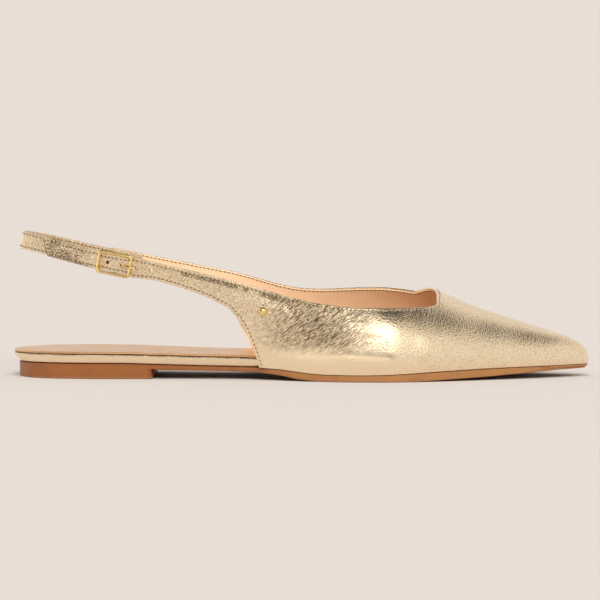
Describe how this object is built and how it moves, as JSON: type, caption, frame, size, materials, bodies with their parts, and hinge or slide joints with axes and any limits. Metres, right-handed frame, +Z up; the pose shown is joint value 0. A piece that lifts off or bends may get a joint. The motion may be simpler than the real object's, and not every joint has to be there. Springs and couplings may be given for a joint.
{
  "type": "slingback flat",
  "caption": "Pointed-toe slingback flat in metallic leather, right foot, with a buckled heel strap, stitched insole and low block heel.",
  "frame": {"origin": "on the floor under the middle of the shoe's bounding box", "axes": "+X towards the toe, +Y towards the inner side of the right foot, +Z up"},
  "size_m": [0.266, 0.0818, 0.0671],
  "materials": {
    "sole": "satin brown unit",
    "gold_leather": "foiled pale gold",
    "sock": "foiled champagne",
    "fittings": "polished"
  },
  "bodies": {
    "root": {"outsole": "sole", "insole_board": "gold_leather", "insole_sock": "sock", "upper": "gold_leather", "sling_strap": "gold_leather", "buckle_frame": "fittings", "buckle_prong": "fittings", "stud": "fittings"}
  },
  "joints": []
}
